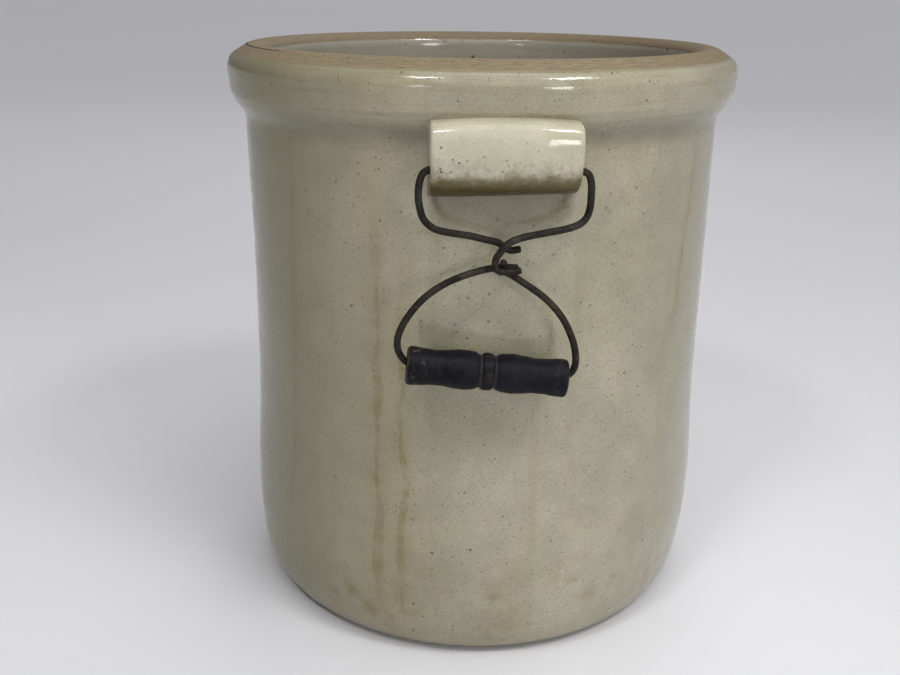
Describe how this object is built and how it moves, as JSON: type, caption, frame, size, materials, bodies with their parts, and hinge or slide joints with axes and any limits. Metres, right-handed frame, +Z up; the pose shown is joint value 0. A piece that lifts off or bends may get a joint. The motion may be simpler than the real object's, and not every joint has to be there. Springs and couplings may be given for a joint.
{
  "type": "ceramic crock fermenter",
  "caption": "Open-topped glazed stoneware crock with a thick rolled rim and, on opposite sides, a clay ear carrying a hooked wire bail with a turned wooden grip.",
  "frame": {"origin": "centre of the flat base, on the surface the crock stands on", "axes": "+Z up along the crock's axis; the front handle is on the -Y side, the rear handle on the +Y side, +X to the right when facing the front handle"},
  "size_m": [0.3246, 0.356, 0.363],
  "materials": {
    "body_glaze": "glossy grey-beige salt-type glaze, bare tan clay on top of the rim",
    "ear_glaze": "glossy cream glaze",
    "wire_iron": "dark rusted wire",
    "grip_wood": "worn blue-black paint on turned wood"
  },
  "bodies": {
    "crock": {"crock_body": "body_glaze", "front_ear": "ear_glaze", "rear_ear": "ear_glaze"},
    "front_hanger": {"front_hanger_wire": "wire_iron"},
    "front_bail": {"front_bail_wire": "wire_iron"},
    "front_grip": {"front_grip": "grip_wood"},
    "rear_hanger": {"rear_hanger_wire": "wire_iron"},
    "rear_bail": {"rear_bail_wire": "wire_iron"},
    "rear_grip": {"rear_grip": "grip_wood"}
  },
  "joints": [
    {"name": "front_hanger_swing", "type": "hinge", "parent": "crock", "child": "front_hanger", "pos_m": [0, -0.1635, 0.3093], "axis": [-1, 0, 0], "range_deg": [0, 130]},
    {"name": "front_bail_swing", "type": "hinge", "parent": "front_hanger", "child": "front_bail", "pos_m": [0, -0.1683, 0.257], "axis": [-1, 0, 0], "range_deg": [0, 60]},
    {"name": "front_grip_spin", "type": "hinge", "parent": "front_bail", "child": "front_grip", "pos_m": [-0.0076, -0.167, 0.2003], "axis": [0.9949, 0, -0.1011], "continuous": true},
    {"name": "rear_hanger_swing", "type": "hinge", "parent": "crock", "child": "rear_hanger", "pos_m": [0, 0.1635, 0.3093], "axis": [1, 0, 0], "range_deg": [0, 130]},
    {"name": "rear_bail_swing", "type": "hinge", "parent": "rear_hanger", "child": "rear_bail", "pos_m": [0, 0.1683, 0.257], "axis": [1, 0, 0], "range_deg": [0, 60]},
    {"name": "rear_grip_spin", "type": "hinge", "parent": "rear_bail", "child": "rear_grip", "pos_m": [0.0076, 0.167, 0.2003], "axis": [-0.9949, 0, -0.1011], "continuous": true}
  ]
}
